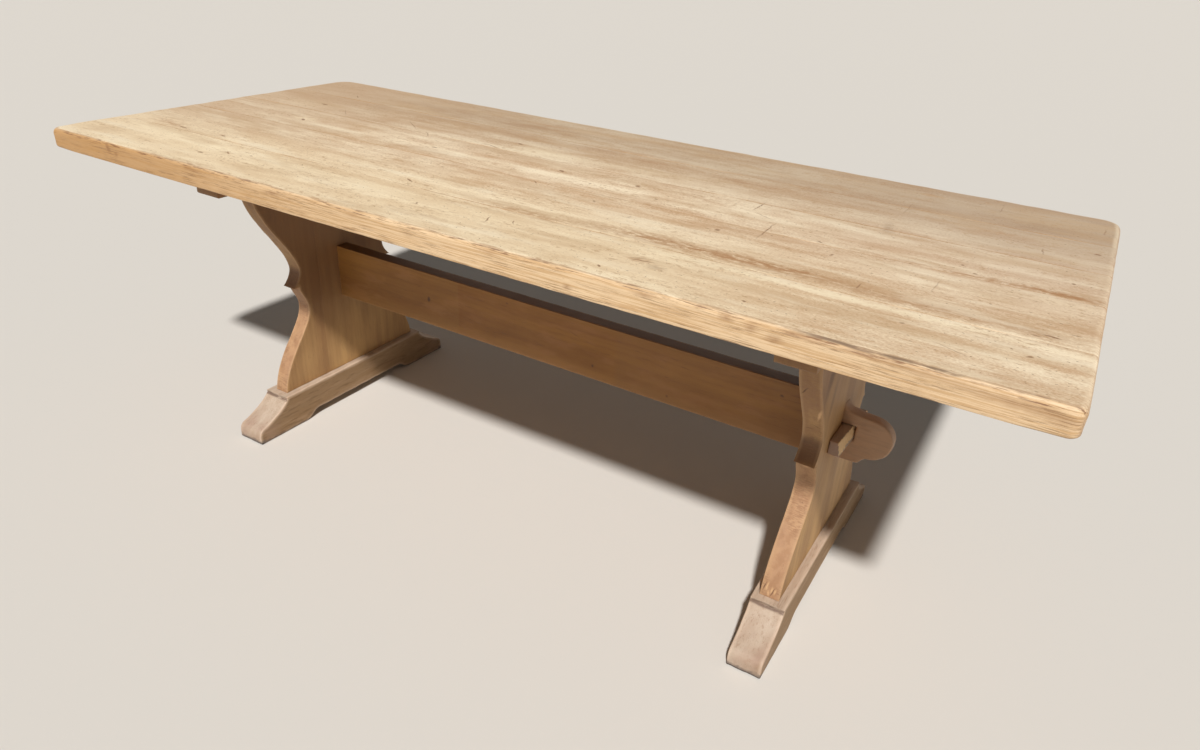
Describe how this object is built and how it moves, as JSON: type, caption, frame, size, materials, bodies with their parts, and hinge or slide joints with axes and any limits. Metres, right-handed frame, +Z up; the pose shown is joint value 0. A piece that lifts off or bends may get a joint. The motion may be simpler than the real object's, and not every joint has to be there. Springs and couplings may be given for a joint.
{
  "type": "trestle dining table",
  "caption": "Rectangular plank-top dining table on two shaped plank trestles, joined by a deep stretcher whose round-nosed through tenons are locked by removable wedges.",
  "frame": {"origin": "on the floor, under the middle of the top", "axes": "+X along the length of the top, +Y across it towards the back edge (the thick ends of the wedges point that way), +Z up"},
  "size_m": [2.124, 0.894, 0.75],
  "materials": {
    "top_oak": "stripped and bleached oak, matt, worn smooth",
    "underframe_oak": "sanded bare oak, matt, vertical grain",
    "foot_oak": "bare oak, scuffed, dirt along the bottom edges",
    "stretcher_oak": "waxed oak, satin, lengthwise grain",
    "wedge_oak": "aged dark oak, matt, chipped to fresh wood on one side",
    "dowel_beech": "turned beech, plain",
    "zinc_steel": "zinc plated, dull"
  },
  "bodies": {
    "table": {"foot_left": "foot_oak", "foot_right": "foot_oak", "head_rail_left": "underframe_oak", "head_rail_right": "underframe_oak", "stretcher": "stretcher_oak", "top_board_back": "top_oak", "top_board_back_inner": "top_oak", "top_board_front": "top_oak", "top_board_front_inner": "top_oak", "top_board_middle": "top_oak", "top_dowels": "dowel_beech", "top_screw_washers": "zinc_steel", "top_screws": "zinc_steel", "upright_dowels": "dowel_beech", "upright_left_back": "underframe_oak", "upright_left_centre": "underframe_oak", "upright_left_front": "underframe_oak", "upright_right_back": "underframe_oak", "upright_right_centre": "underframe_oak", "upright_right_front": "underframe_oak"},
    "wedge_left": {"wedge_left": "wedge_oak"},
    "wedge_right": {"wedge_right": "wedge_oak"}
  },
  "joints": [
    {"name": "wedge_left_slide", "type": "slide", "parent": "table", "child": "wedge_left", "axis": [0, 1, 0], "range_m": [0, 0.095]},
    {"name": "wedge_right_slide", "type": "slide", "parent": "table", "child": "wedge_right", "axis": [0, 1, 0], "range_m": [0, 0.095]}
  ]
}
